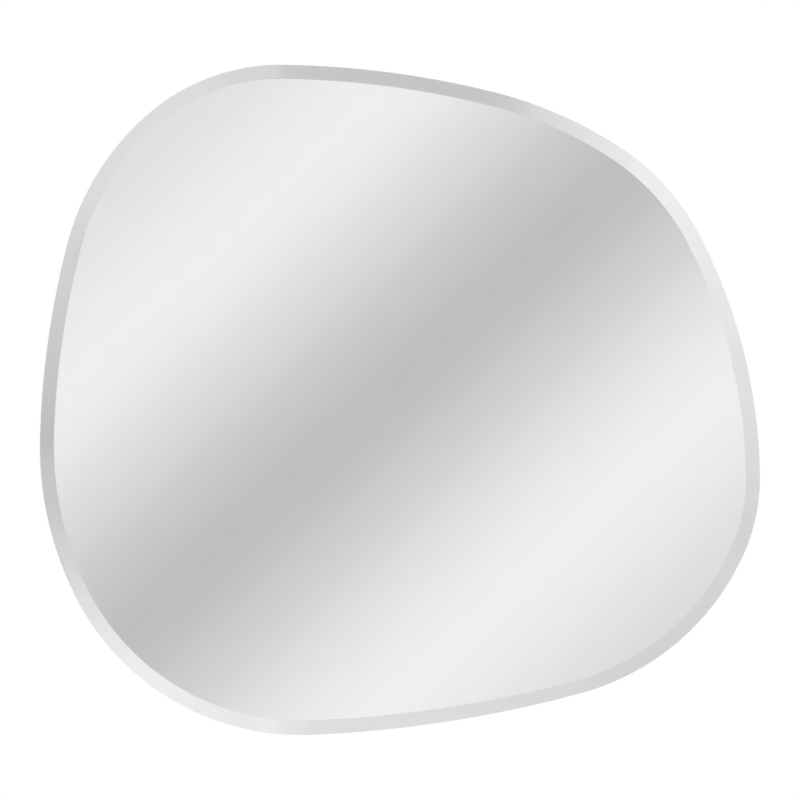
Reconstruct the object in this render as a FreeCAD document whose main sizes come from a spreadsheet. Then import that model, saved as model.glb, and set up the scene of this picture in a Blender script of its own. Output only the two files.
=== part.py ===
import FreeCAD
import Part
import Sketcher
import math
import operator
import os

# Frameless wall mirror with a free, rounded outline and a ground bevel all round, hung by two bonded
# plates on turnable discs that two wall screws hold. X runs to the right as seen from the front, Z up
# and -Y towards the viewer. The wall is the plane Y = 0 and the origin lies on it, midway between the
# wall screws. Lengths are in millimetres and angles in degrees.

DRIVING_SIZES = (
    ("mirror_width", 650.0, "outline from its leftmost to its rightmost point"),
    ("mirror_height", 605.0, "outline from its lowest to its highest point"),
    ("side_shift", 10.4, "middle of the mirror's width, to the right of the origin"),
    ("top_rise", 152.6, "highest point of the outline above the wall screws"),
    ("lower_right_radius", 226.0, "outline arc"),
    ("right_flank_radius", 168.0, "outline arc"),
    ("upper_right_radius", 213.0, "outline arc"),
    ("right_brow_radius", 373.0, "outline arc"),
    ("top_left_radius", 183.0, "outline arc"),
    ("upper_left_radius", 233.0, "outline arc"),
    ("left_flank_radius", 300.0, "outline arc"),
    ("lower_left_radius", 228.0, "outline arc"),
    ("start_angle", 92.3, "direction from the start of the bottom arc to its centre"),
    ("bottom_angle", 12.9, "turn of an outline arc"),
    ("lower_right_angle", 50.3, "turn of an outline arc"),
    ("right_flank_angle", 25.3, "turn of an outline arc"),
    ("right_side_angle", 26.5, "turn of an outline arc"),
    ("upper_right_angle", 29.4, "turn of an outline arc"),
    ("right_brow_angle", 19.5, "turn of an outline arc"),
    ("top_angle", 12.9, "turn of an outline arc"),
    ("top_left_angle", 41.8, "turn of an outline arc"),
    ("upper_left_angle", 34.6, "turn of an outline arc"),
    ("left_side_angle", 13.0, "turn of an outline arc"),
    ("left_flank_angle", 28.1, "turn of an outline arc"),
    ("glass_thickness", 5.0, "float glass"),
    ("bevel_width", 12.5, "ground band on the front, measured across the face"),
    ("bevel_depth", 2.0, "what the bevel takes off the thickness at the edge"),
    ("arris", 0.2, "small chamfer round the back edge of the glass"),
    ("silver_thickness", 0.1, "reflecting layer"),
    ("paint_thickness", 0.1, "protective paint over the silver"),
    ("film_thickness", 0.2, "vinyl film that holds broken glass together"),
    ("coating_inset", 0.2, "silver and paint stop this far inside the edge"),
    ("film_inset", 1.5, "film stops this far inside the edge"),
    ("hanger_spacing", 360.0, "between the two wall screws"),
    ("plate_sheet", 1.0, "steel sheet of the hanger plates"),
    ("plate_corner", 5.0, "corner radius of a hanger plate"),
    ("rim_side", 12.0, "glued rim at each side of a hanger plate"),
    ("rim_end", 8.0, "glued rim above and below the pressed pan"),
    ("pan_side_gap", 9.0, "room at each side of the turning disc inside the pan"),
    ("pan_end_gap", 5.0, "room above and below the turning disc inside the pan"),
    ("pan_corner", 8.0, "corner radius of the pressed pan"),
    ("pan_bend", 0.8, "bend round the raised face of the pan"),
    ("slot_side_gap", 0.5, "between the slot and the disc's neck at full turn"),
    ("slot_corner", 2.0, "corner radius at the top of the slot"),
    ("seat_gap", 0.2, "between the top of the slot and the disc's neck"),
    ("entry_gap", 1.0, "between the entry hole and the disc's rim"),
    ("lift", 16.0, "how far the mirror is lifted to come off"),
    ("tape_thickness", 1.0, "foam tape between a plate and the mirror"),
    ("tape_side_inset", 1.0, "tape inside the rim, across"),
    ("tape_end_inset", 2.0, "tape inside the plate, at each end"),
    ("disc_radius", 11.0, "rim of the adjusting disc"),
    ("neck_radius", 6.0, "neck of the adjusting disc, where the plate hangs"),
    ("eccentricity", 2.0, "disc centre above the screw at rest"),
    ("wall_rim", 3.2, "thickness of the disc's rim at the wall"),
    ("neck_width", 1.6, "length of the neck between the two rims"),
    ("front_rim", 2.0, "thickness of the disc's front rim"),
    ("plate_side_play", 0.2, "between the plate and the disc's wall rim"),
    ("front_gap", 1.2, "between the disc's front and the back of the mirror"),
    ("grip_radius", 1.2, "finger grips round the disc's wall rim"),
    ("disc_bore_gap", 0.08, "radial play of the disc on the screw"),
    ("countersink_gap", 0.1, "radial play under the screw head"),
    ("shank_radius", 2.25, "wall screw"),
    ("head_radius", 4.25, "wall screw's countersunk head"),
    ("screw_length", 50.0, "wall screw, head included"),
    ("screw_point", 6.0, "length of the screw's point"),
    ("recess_width", 1.0, "arm of the cross recess"),
    ("recess_span", 4.6, "cross recess from end to end"),
    ("recess_depth", 1.6, "cross recess"),
    ("plug_radius", 4.0, "wall plug"),
    ("plug_length", 40.0, "wall plug"),
    ("plug_neck", 14.0, "plain part of the plug at the wall's face"),
    ("plug_nose", 2.0, "tapered end of the plug"),
    ("plug_bore_gap", 0.05, "between the screw and the plug's bore"),
    ("barb_depth", 0.5, "how far the saw teeth of the plug are cut in"),
    ("split_width", 1.2, "slit that lets the plug spread"),
    ("split_land", 4.0, "unslit plug behind its plain part"),
    ("bumper_spacing", 320.0, "between the two bumpers"),
    ("bumper_rise", 92.4, "bumpers above the lowest point of the outline"),
    ("bumper_radius", 13.0, "bumper at its glued end"),
    ("bumper_taper", 1.5, "how much narrower a bumper is at the wall"),
    ("bumper_round", 1.0, "rounding of the bumper's wall end"),
    ("pad_thickness", 0.3, "adhesive pad of a bumper"),
    ("pad_inset", 1.0, "adhesive pad inside the bumper's edge"),
)

# The outline runs counter-clockwise as seen from the front, each arc tangent to the next. The arcs of
# CLOSING have the radii that close it at the mirror's width and height, and the lower_left arc turns
# through what is left of a circle. REACHES names the arc that touches each side of the box round the
# outline, with the heading of the outline there.
OUTLINE = ("bottom", "lower_right", "right_flank", "right_side", "upper_right", "right_brow",
           "top", "top_left", "upper_left", "left_side", "left_flank", "lower_left")
CLOSING = ("bottom", "right_side", "top", "left_side")
REACHES = (("lower_left", 360.0), ("right_flank", 90.0), ("top_left", 180.0), ("left_flank", 270.0))
GRIP_COUNT = 12
BARB_COUNT = 5
EDGE_TOLERANCE = 1e-4

document = FreeCAD.newDocument("mirror")
sheet = document.addObject("Spreadsheet::Sheet", "Sizes")
sizes = {}
sub_parts = []


def add_size(alias, value, note):
    """Write one driving size into the sheet under its alias."""
    row = len(sizes) + 1
    sizes[alias] = value
    sheet.set(f"A{row}", note)
    sheet.set(f"B{row}", str(value))
    sheet.setAlias(f"B{row}", alias)


for alias, value, note in DRIVING_SIZES:
    add_size(alias, value, note)
document.recompute()

# Distances in front of the wall, worked out from the wall forwards.
DISC_FRONT = "(Sizes.wall_rim + Sizes.neck_width + Sizes.front_rim)"
MIRROR_BACK = f"({DISC_FRONT} + Sizes.front_gap)"
RIM_FRONT = f"({MIRROR_BACK} - Sizes.tape_thickness)"
RIM_BACK = f"({RIM_FRONT} - Sizes.plate_sheet)"
PAN_BACK = "(Sizes.wall_rim + Sizes.plate_side_play)"
PAN_FRONT = f"({PAN_BACK} + Sizes.plate_sheet)"
PAINT_BACK = f"({MIRROR_BACK} + Sizes.film_thickness)"
SILVER_BACK = f"({PAINT_BACK} + Sizes.paint_thickness)"
GLASS_BACK = f"({SILVER_BACK} + Sizes.silver_thickness)"

# Sides of the box round the outline, and the height of the bumpers.
MIRROR_LEFT = "(Sizes.side_shift - Sizes.mirror_width / 2)"
MIRROR_RIGHT = "(Sizes.side_shift + Sizes.mirror_width / 2)"
MIRROR_FOOT = "(Sizes.top_rise - Sizes.mirror_height)"
BUMPER_HEIGHT = f"({MIRROR_FOOT} + Sizes.bumper_rise)"

# Half widths and heights of a hanger plate, from the disc that turns inside its pan.
DISC_SWEEP = "(Sizes.disc_radius + Sizes.eccentricity)"
HOLLOW_SIDE = f"({DISC_SWEEP} + Sizes.pan_side_gap)"
PAN_SIDE = f"({HOLLOW_SIDE} + Sizes.plate_sheet)"
PLATE_SIDE = f"({PAN_SIDE} + Sizes.rim_side)"
HOLLOW_TOP = f"({DISC_SWEEP} + Sizes.pan_end_gap)"
PAN_TOP = f"({HOLLOW_TOP} + Sizes.plate_sheet)"
PLATE_TOP = f"({PAN_TOP} + Sizes.rim_end)"
HOLLOW_FOOT = f"(-{HOLLOW_TOP} - Sizes.lift)"
PAN_FOOT = f"(-{PAN_TOP} - Sizes.lift)"
PLATE_FOOT = f"(-{PLATE_TOP} - Sizes.lift)"
SLOT_SIDE = "(Sizes.neck_radius + Sizes.eccentricity + Sizes.slot_side_gap)"
SLOT_TOP = "(Sizes.eccentricity + Sizes.neck_radius + Sizes.seat_gap)"
ENTRY_HEIGHT = "(Sizes.eccentricity - Sizes.lift)"
TAPE_WIDTH = "(Sizes.rim_side - 2 * Sizes.tape_side_inset)"

DISC_BORE = "(Sizes.shank_radius + Sizes.disc_bore_gap)"
PLUG_BORE = "(Sizes.shank_radius + Sizes.plug_bore_gap)"
SCREW_END = f"(Sizes.screw_length - {DISC_FRONT})"


def evaluate(expression):
    """Number that an expression of sheet values gives."""
    return float(sheet.evalExpression(expression))


def new_body(label, across="0", up="0"):
    """Empty body of one sub-part, its own origin moved across and up from the mirror's."""
    body = document.addObject("PartDesign::Body", label)
    body.Label = label
    body.setExpression(".Placement.Base.x", across)
    body.setExpression(".Placement.Base.z", up)
    sub_parts.append(body)
    document.recompute()
    return body


def new_sketch(body, name, role, offset="0"):
    """Sketch on one of the body's origin planes. On XZ_Plane the offset counts in front of the wall."""
    plane = next(item for item in body.Origin.OriginFeatures if item.Role == role)
    sketch = body.newObject("Sketcher::SketchObject", name)
    sketch.AttachmentSupport = [(plane, "")]
    sketch.MapMode = "FlatFace"
    sketch.setExpression(".AttachmentOffset.Base.z", offset)
    document.recompute()
    return sketch


def drive(sketch, expression, kind, *where):
    """Add a dimension to a sketch and bind it to an expression."""
    value = evaluate(expression)
    if kind == "Angle":
        value = math.radians(value)
    index = sketch.addConstraint(Sketcher.Constraint(kind, *where, value))
    sketch.setExpression(f"Constraints[{index}]", expression)


def add_polygon(sketch, corners, construction=False):
    """Closed polygon whose corners are pairs of expressions."""
    points = [FreeCAD.Vector(evaluate(x), evaluate(y), 0) for x, y in corners]
    lines = []
    for index, point in enumerate(points):
        following = points[(index + 1) % len(points)]
        lines.append(sketch.addGeometry(Part.LineSegment(point, following), construction))
    for index, line in enumerate(lines):
        following = lines[(index + 1) % len(lines)]
        sketch.addConstraint(Sketcher.Constraint("Coincident", line, 2, following, 1))
    for line, (x, y) in zip(lines, corners):
        drive(sketch, x, "DistanceX", -1, 1, line, 1)
        drive(sketch, y, "DistanceY", -1, 1, line, 1)
    return lines


def add_rectangle(sketch, side, foot, top):
    """Rectangle with equal sides left and right of the sketch's vertical axis."""
    add_polygon(sketch, ((f"-{side}", foot), (side, foot), (side, top), (f"-{side}", top)))


def add_rounded_rectangle(sketch, side, foot, top, corner):
    """Rectangle with equal sides left and right of the sketch's vertical axis and round corners."""
    radius = evaluate(corner)
    right, low, high = evaluate(side), evaluate(foot), evaluate(top)
    normal = FreeCAD.Vector(0, 0, 1)
    turns = ((right, low, -90), (right, high, 0), (-right, high, 90), (-right, low, 180))
    arcs = []
    for x, y, start in turns:
        centre = FreeCAD.Vector(x - math.copysign(radius, x), y + (radius if y == low else -radius), 0)
        span = (math.radians(start), math.radians(start + 90))
        arcs.append(sketch.addGeometry(Part.ArcOfCircle(Part.Circle(centre, normal, radius), *span), False))
    lines = []
    for index, arc in enumerate(arcs):
        begin = sketch.Geometry[arc].EndPoint
        end = sketch.Geometry[arcs[(index + 1) % 4]].StartPoint
        lines.append(sketch.addGeometry(Part.LineSegment(begin, end), False))
    for index, (arc, line) in enumerate(zip(arcs, lines)):
        sketch.addConstraint(Sketcher.Constraint("Tangent", arc, 2, line, 1))
        sketch.addConstraint(Sketcher.Constraint("Tangent", line, 2, arcs[(index + 1) % 4], 1))
        sketch.addConstraint(Sketcher.Constraint("Horizontal" if index % 2 else "Vertical", line))
        drive(sketch, corner, "Radius", arc)
    drive(sketch, side, "DistanceX", -1, 1, lines[0], 1)
    drive(sketch, top, "DistanceY", -1, 1, lines[1], 1)
    drive(sketch, f"-{side}", "DistanceX", -1, 1, lines[2], 1)
    drive(sketch, foot, "DistanceY", -1, 1, lines[3], 1)


def add_circle(sketch, radius, height="0"):
    """Circle on the sketch's vertical axis."""
    centre = FreeCAD.Vector(0, evaluate(height), 0)
    circle = Part.Circle(centre, FreeCAD.Vector(0, 0, 1), evaluate(radius))
    index = sketch.addGeometry(circle, False)
    drive(sketch, "0", "DistanceX", -1, 1, index, 3)
    drive(sketch, height, "DistanceY", -1, 1, index, 3)
    drive(sketch, radius, "Radius", index)


def pad(body, name, sketch, length, towards_wall=False):
    """Pad a sketch, forwards unless told otherwise."""
    feature = body.newObject("PartDesign::Pad", name)
    feature.Profile = sketch
    feature.Reversed = towards_wall
    feature.setExpression("Length", length)
    document.recompute()
    return feature


def pocket(body, name, sketch, length=None, both_ways=False):
    """Pocket a sketch towards the wall, through everything if no length is given."""
    feature = body.newObject("PartDesign::Pocket", name)
    feature.Profile = sketch
    if length is None:
        feature.Type = "ThroughAll"
        feature.Midplane = both_ways
    else:
        feature.setExpression("Length", length)
    document.recompute()
    return feature


def turned(body, name, corners):
    """Turned piece: a half section of pairs (radius, depth behind the wall's face), about Y."""
    sketch = new_sketch(body, f"{name}_section", "XY_Plane")
    add_polygon(sketch, corners)
    feature = body.newObject("PartDesign::Revolution", name)
    feature.Profile = sketch
    feature.ReferenceAxis = (sketch, ["V_Axis"])
    feature.Angle = 360.0
    document.recompute()
    return feature


def edges_where(feature, test):
    """Names of a feature's edges that pass a test."""
    return [f"Edge{index}" for index, edge in enumerate(feature.Shape.Edges, 1) if test(edge)]


def in_plane(distance):
    """Test for edges that lie at a distance in front of the wall."""
    depth = -evaluate(distance)

    def test(edge):
        box = edge.BoundBox
        return abs(box.YMin - depth) < EDGE_TOLERANCE and abs(box.YMax - depth) < EDGE_TOLERANCE

    return test


def dress(body, kind, name, feature, test, size):
    """Fillet or chamfer the edges of a feature that pass a test."""
    finish = body.newObject(f"PartDesign::{kind}", name)
    finish.Base = (feature, edges_where(feature, test))
    finish.setExpression("Radius" if kind == "Fillet" else "Size", size)
    document.recompute()
    return finish


def arc_step(start, end):
    """How far an outline arc of radius 1 leads across and up, between two headings."""
    return math.sin(end) - math.sin(start), math.cos(start) - math.cos(end)


def arc_steps(headings, arc, heading):
    """Steps of all the arcs up to the point of one arc where the outline has a heading."""
    last = OUTLINE.index(arc)
    steps = [arc_step(headings[index], headings[index + 1]) for index in range(last)]
    steps.append(arc_step(headings[last], heading))
    return steps + [(0.0, 0.0)] * (len(OUTLINE) - len(steps))


def outline_arcs(inset):
    """Centre, radius and angles of each outline arc, moved in from the edge by an inset."""
    headings = [math.radians(sizes["start_angle"] - 90.0)]
    for arc in OUTLINE[:-1]:
        headings.append(headings[-1] + math.radians(sizes[f"{arc}_angle"]))
    headings.append(headings[0] + 2 * math.pi)
    whole = arc_steps(headings, OUTLINE[-1], headings[-1])
    foot, right, top, left = [arc_steps(headings, arc, math.radians(angle)) for arc, angle in REACHES]
    equations = (
        ([step[0] for step in whole], 0.0),
        ([step[1] for step in whole], 0.0),
        ([far[0] - near[0] for far, near in zip(right, left)], sizes["mirror_width"]),
        ([far[1] - near[1] for far, near in zip(top, foot)], sizes["mirror_height"]),
    )
    radii = [sizes.get(f"{arc}_radius", 0.0) for arc in OUTLINE]
    closing = [OUTLINE.index(arc) for arc in CLOSING]
    factors = FreeCAD.Matrix(*[factor[index] for factor, _ in equations for index in closing])
    short = [total - sum(map(operator.mul, factor, radii)) for factor, total in equations]
    solved = factors.inverse() * FreeCAD.Matrix(*[part for value in short for part in (value, 0, 0, 0)])
    for row, index in enumerate(closing):
        radii[index] = solved.A[4 * row]
    x = evaluate(MIRROR_LEFT) - sum(radius * step[0] for radius, step in zip(radii, left))
    z = sizes["top_rise"] - sum(radius * step[1] for radius, step in zip(radii, top))
    arcs = []
    for radius, start, end, step in zip(radii, headings, headings[1:], whole):
        centre = (x - radius * math.sin(start), z + radius * math.cos(start))
        arcs.append((*centre, radius - inset, start - math.pi / 2, end - math.pi / 2))
        x += radius * step[0]
        z += radius * step[1]
    return arcs


def add_outline(sketch, inset):
    """The mirror's outline as tangent arcs in a construction box, moved in from the edge by an inset."""
    normal = FreeCAD.Vector(0, 0, 1)
    lines = []
    for x, z, radius, start, end in outline_arcs(evaluate(inset)):
        circle = Part.Circle(FreeCAD.Vector(x, z, 0), normal, radius)
        lines.append(sketch.addGeometry(Part.ArcOfCircle(circle, start, end), False))
    for index, line in enumerate(lines):
        following = lines[(index + 1) % len(lines)]
        sketch.addConstraint(Sketcher.Constraint("Tangent", line, 2, following, 1))
    left, right = f"{MIRROR_LEFT} + {inset}", f"{MIRROR_RIGHT} - {inset}"
    foot, top = f"{MIRROR_FOOT} + {inset}", f"Sizes.top_rise - {inset}"
    box = add_polygon(sketch, ((left, foot), (right, foot), (right, top), (left, top)), construction=True)
    for side, (arc, _) in zip(box, REACHES):
        sketch.addConstraint(Sketcher.Constraint("Tangent", side, lines[OUTLINE.index(arc)]))
    bottom = sketch.Geometry[lines[0]]
    radius_line = sketch.addGeometry(Part.LineSegment(bottom.StartPoint, bottom.Center), True)
    sketch.addConstraint(Sketcher.Constraint("Coincident", radius_line, 1, lines[0], 1))
    sketch.addConstraint(Sketcher.Constraint("Coincident", radius_line, 2, lines[0], 3))
    drive(sketch, "Sizes.start_angle", "Angle", -1, 1, radius_line, 1)
    for line, arc in zip(lines, OUTLINE):
        if f"{arc}_radius" in sizes:
            drive(sketch, f"Sizes.{arc}_radius - {inset}", "Radius", line)
        if f"{arc}_angle" in sizes:
            drive(sketch, f"Sizes.{arc}_angle", "Angle", line)


def mirror_layer(label, back, thickness, inset="0"):
    """One layer of the mirror: the outline, padded forwards from its back face."""
    body = new_body(label)
    sketch = new_sketch(body, f"{label}_outline", "XZ_Plane", back)
    add_outline(sketch, inset)
    return body, pad(body, f"{label}_sheet", sketch, thickness)


def make_glass():
    """Float glass with a bevel ground round the front and a fine arris round the back."""
    body, glass = mirror_layer("glass_pane", GLASS_BACK, "Sizes.glass_thickness")
    front = f"({GLASS_BACK} + Sizes.glass_thickness)"
    bevel = body.newObject("PartDesign::Chamfer", "bevel")
    bevel.Base = (glass, edges_where(glass, in_plane(front)))
    bevel.ChamferType = "Two distances"
    bevel.setExpression("Size", "Sizes.bevel_depth")
    bevel.setExpression("Size2", "Sizes.bevel_width")
    document.recompute()
    dress(body, "Chamfer", "back_arris", bevel, in_plane(GLASS_BACK), "Sizes.arris")


def make_hanger_plate(side, across):
    """Square steel plate with a glued rim and a pressed pan that holds the keyhole off the mirror."""
    label = f"hanger_plate_{side}"
    body = new_body(label, across)
    outline = new_sketch(body, f"{label}_outline", "XZ_Plane", RIM_BACK)
    add_rounded_rectangle(outline, PLATE_SIDE, PLATE_FOOT, PLATE_TOP, "Sizes.plate_corner")
    pad(body, f"{label}_rim", outline, "Sizes.plate_sheet")
    raised = new_sketch(body, f"{label}_pan_outline", "XZ_Plane", RIM_FRONT)
    add_rounded_rectangle(raised, PAN_SIDE, PAN_FOOT, PAN_TOP, "Sizes.pan_corner")
    pan = pad(body, f"{label}_pan", raised, f"{RIM_FRONT} - {PAN_BACK}", towards_wall=True)
    dress(body, "Fillet", f"{label}_bend", pan, in_plane(PAN_BACK), "Sizes.pan_bend")
    hollow = new_sketch(body, f"{label}_hollow_outline", "XZ_Plane", RIM_FRONT)
    inner_corner = "(Sizes.pan_corner - Sizes.plate_sheet)"
    add_rounded_rectangle(hollow, HOLLOW_SIDE, HOLLOW_FOOT, HOLLOW_TOP, inner_corner)
    pocket(body, f"{label}_hollow", hollow, f"{RIM_FRONT} - {PAN_FRONT}")
    entry = new_sketch(body, f"{label}_entry_outline", "XZ_Plane", RIM_FRONT)
    add_circle(entry, "Sizes.disc_radius + Sizes.entry_gap", ENTRY_HEIGHT)
    pocket(body, f"{label}_entry", entry)
    slot = new_sketch(body, f"{label}_slot_outline", "XZ_Plane", RIM_FRONT)
    add_rounded_rectangle(slot, SLOT_SIDE, ENTRY_HEIGHT, SLOT_TOP, "Sizes.slot_corner")
    pocket(body, f"{label}_slot", slot)


def make_tape(label, across):
    """Strip of double-sided foam tape between a plate's side rim and the back of the mirror."""
    tape = document.addObject("Part::Box", label)
    tape.Label = label
    tape.setExpression("Length", TAPE_WIDTH)
    tape.setExpression("Width", "Sizes.tape_thickness")
    tape.setExpression("Height", f"{PLATE_TOP} - {PLATE_FOOT} - 2 * Sizes.tape_end_inset")
    tape.setExpression(".Placement.Base.x", f"{across} - {TAPE_WIDTH} / 2")
    tape.setExpression(".Placement.Base.y", f"-{MIRROR_BACK}")
    tape.setExpression(".Placement.Base.z", f"{PLATE_FOOT} + Sizes.tape_end_inset")
    sub_parts.append(tape)


def make_adjuster(side, across):
    """Nylon disc with a neck for the plate and a bore off its centre, so that turning it sets the height."""
    label = f"height_adjuster_{side}"
    body = new_body(label, across, "Sizes.eccentricity")
    neck_back = "(-Sizes.wall_rim)"
    neck_front = "(-Sizes.wall_rim - Sizes.neck_width)"
    spool = turned(body, f"{label}_spool", (
        ("0", "0"),
        ("Sizes.disc_radius", "0"),
        ("Sizes.disc_radius", neck_back),
        ("Sizes.neck_radius", neck_back),
        ("Sizes.neck_radius", neck_front),
        ("Sizes.disc_radius", neck_front),
        ("Sizes.disc_radius", f"-{DISC_FRONT}"),
        ("0", f"-{DISC_FRONT}"),
    ))
    bore = new_sketch(body, f"{label}_bore_outline", "XZ_Plane", DISC_FRONT)
    add_circle(bore, DISC_BORE, "-Sizes.eccentricity")
    spool = pocket(body, f"{label}_bore", bore)
    bore_limit = evaluate(DISC_BORE) * 2 + EDGE_TOLERANCE

    def bore_mouth(edge):
        return in_plane(DISC_FRONT)(edge) and edge.BoundBox.XLength < bore_limit

    sink = f"Sizes.head_radius + Sizes.countersink_gap - {DISC_BORE}"
    dress(body, "Chamfer", f"{label}_countersink", spool, bore_mouth, sink)

    grip = new_sketch(body, f"{label}_grip_outline", "XZ_Plane", "Sizes.wall_rim")
    add_circle(grip, "Sizes.grip_radius", "Sizes.disc_radius")
    cut = pocket(body, f"{label}_grip", grip, "Sizes.wall_rim")
    grips = body.newObject("PartDesign::PolarPattern", f"{label}_grips")
    grips.Originals = [cut]
    grips.Axis = (grip, ["N_Axis"])
    grips.Angle = 360.0
    grips.Occurrences = GRIP_COUNT
    body.Tip = grips
    document.recompute()


def make_screw(side, across):
    """Countersunk wall screw with a cross recess."""
    label = f"wall_screw_{side}"
    body = new_body(label, across)
    screw = turned(body, f"{label}_shank", (
        ("0", f"-{DISC_FRONT}"),
        ("Sizes.head_radius", f"-{DISC_FRONT}"),
        ("Sizes.shank_radius", f"Sizes.head_radius - Sizes.shank_radius - {DISC_FRONT}"),
        ("Sizes.shank_radius", f"{SCREW_END} - Sizes.screw_point"),
        ("0", SCREW_END),
    ))
    arm = "Sizes.recess_width / 2"
    reach = "Sizes.recess_span / 2"
    for name, side_reach, height in (("cross_bar", reach, arm), ("cross_post", arm, reach)):
        recess = new_sketch(body, f"{label}_{name}_outline", "XZ_Plane", DISC_FRONT)
        add_rectangle(recess, f"({side_reach})", f"-({height})", height)
        screw = pocket(body, f"{label}_{name}", recess, "Sizes.recess_depth")


def make_plug(side, across):
    """Nylon wall plug: plain at the wall's face, then saw teeth and a cross-shaped slit that spreads."""
    label = f"wall_plug_{side}"
    body = new_body(label, across)
    tooth = f"((Sizes.plug_length - Sizes.plug_neck - Sizes.plug_nose) / {BARB_COUNT})"
    root = "Sizes.plug_radius - Sizes.barb_depth"
    corners = [(PLUG_BORE, "0"), ("Sizes.plug_radius", "0")]
    for index in range(BARB_COUNT):
        start = f"Sizes.plug_neck + {index} * {tooth}"
        corners.append(("Sizes.plug_radius", start))
        corners.append((root, start))
    corners.append(("Sizes.plug_radius", "Sizes.plug_length - Sizes.plug_nose"))
    corners.append((root, "Sizes.plug_length"))
    corners.append((PLUG_BORE, "Sizes.plug_length"))
    turned(body, f"{label}_sleeve", corners)
    start = "Sizes.plug_neck + Sizes.split_land"
    end = "Sizes.plug_length + Sizes.split_width"
    half = "(Sizes.split_width / 2)"
    for role, name in (("XY_Plane", "upright"), ("YZ_Plane", "level")):
        slit = new_sketch(body, f"{label}_{name}_outline", role)
        if role == "XY_Plane":
            corners = ((f"-{half}", start), (half, start), (half, end), (f"-{half}", end))
        else:
            corners = ((start, f"-{half}"), (end, f"-{half}"), (end, half), (start, half))
        add_polygon(slit, corners)
        pocket(body, f"{label}_{name}_slit", slit, both_ways=True)


def make_bumper(side, across):
    """Rubber bumper that keeps the foot of the mirror as far off the wall as its top."""
    label = f"bumper_{side}"
    body = new_body(label, across, BUMPER_HEIGHT)
    glued_end = f"(Sizes.pad_thickness - {MIRROR_BACK})"
    stud = turned(body, f"{label}_stud", (
        ("0", "0"),
        ("Sizes.bumper_radius - Sizes.bumper_taper", "0"),
        ("Sizes.bumper_radius", glued_end),
        ("0", glued_end),
    ))
    dress(body, "Fillet", f"{label}_round", stud, in_plane("0"), "Sizes.bumper_round")


def make_bumper_pad(side, across):
    """Round adhesive pad between a bumper and the back of the mirror."""
    disc = document.addObject("Part::Cylinder", f"bumper_adhesive_{side}")
    disc.Label = f"bumper_adhesive_{side}"
    disc.setExpression("Radius", "Sizes.bumper_radius - Sizes.pad_inset")
    disc.setExpression("Height", "Sizes.pad_thickness")
    disc.Placement.Rotation = FreeCAD.Rotation(FreeCAD.Vector(1, 0, 0), -90)
    disc.setExpression(".Placement.Base.x", across)
    disc.setExpression(".Placement.Base.y", f"-{MIRROR_BACK}")
    disc.setExpression(".Placement.Base.z", BUMPER_HEIGHT)
    sub_parts.append(disc)


make_glass()
mirror_layer("silver_coating", SILVER_BACK, "Sizes.silver_thickness", "Sizes.coating_inset")
mirror_layer("protective_paint", PAINT_BACK, "Sizes.paint_thickness", "Sizes.coating_inset")
mirror_layer("safety_film", MIRROR_BACK, "Sizes.film_thickness", "Sizes.film_inset")
for side, sign in (("left", "-"), ("right", "")):
    screw_x = f"({sign}Sizes.hanger_spacing / 2)"
    bumper_x = f"({sign}Sizes.bumper_spacing / 2)"
    rim_x = f"({PAN_SIDE} + Sizes.rim_side / 2)"
    make_hanger_plate(side, screw_x)
    make_tape(f"hanger_tape_{side}_a", f"{screw_x} - {rim_x}")
    make_tape(f"hanger_tape_{side}_b", f"{screw_x} + {rim_x}")
    make_adjuster(side, screw_x)
    make_screw(side, screw_x)
    make_plug(side, screw_x)
    make_bumper(side, bumper_x)
    make_bumper_pad(side, bumper_x)
document.recompute()

faults = [item.Name for item in document.Objects if "Invalid" in item.State or "Error" in item.State]
faults += [item.Label for item in sub_parts if item.Shape.isNull() or not item.Shape.isValid()]
if faults:
    raise RuntimeError(f"These did not build: {', '.join(faults)}")

os.makedirs("parts", exist_ok=True)
for item in sub_parts:
    item.Shape.exportStep(f"parts/{item.Label}.step")
    box = item.Shape.BoundBox
    print(f"{item.Label}: {len(item.Shape.Solids)} solid, {item.Shape.Volume:.1f} mm3, "
          f"x {box.XMin:.2f} to {box.XMax:.2f}, y {box.YMin:.2f} to {box.YMax:.2f}, "
          f"z {box.ZMin:.2f} to {box.ZMax:.2f}")
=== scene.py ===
import math

import bmesh
import bpy
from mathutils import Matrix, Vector


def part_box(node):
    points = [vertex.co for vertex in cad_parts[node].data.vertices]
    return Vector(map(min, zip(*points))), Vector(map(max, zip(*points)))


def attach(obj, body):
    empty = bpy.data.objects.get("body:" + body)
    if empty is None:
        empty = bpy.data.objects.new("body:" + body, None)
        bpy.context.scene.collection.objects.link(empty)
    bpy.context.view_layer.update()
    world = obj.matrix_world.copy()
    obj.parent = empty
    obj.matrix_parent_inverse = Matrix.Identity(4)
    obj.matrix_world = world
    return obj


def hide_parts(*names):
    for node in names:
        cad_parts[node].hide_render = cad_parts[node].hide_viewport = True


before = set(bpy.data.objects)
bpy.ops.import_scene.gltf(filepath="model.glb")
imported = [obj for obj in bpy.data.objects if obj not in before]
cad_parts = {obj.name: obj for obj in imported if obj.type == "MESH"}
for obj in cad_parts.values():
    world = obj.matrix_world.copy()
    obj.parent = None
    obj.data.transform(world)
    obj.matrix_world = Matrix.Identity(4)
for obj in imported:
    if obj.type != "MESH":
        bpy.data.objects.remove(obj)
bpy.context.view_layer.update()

# --- Glass pane ---------------------------------------------------------------------------------------
# One sheet of 5 mm float glass, cut to a free, rounded outline of tangent arcs. A half-inch bevel is
# ground and polished round its front, and a fine arris round its back. Along its edge the glass is green.

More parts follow.
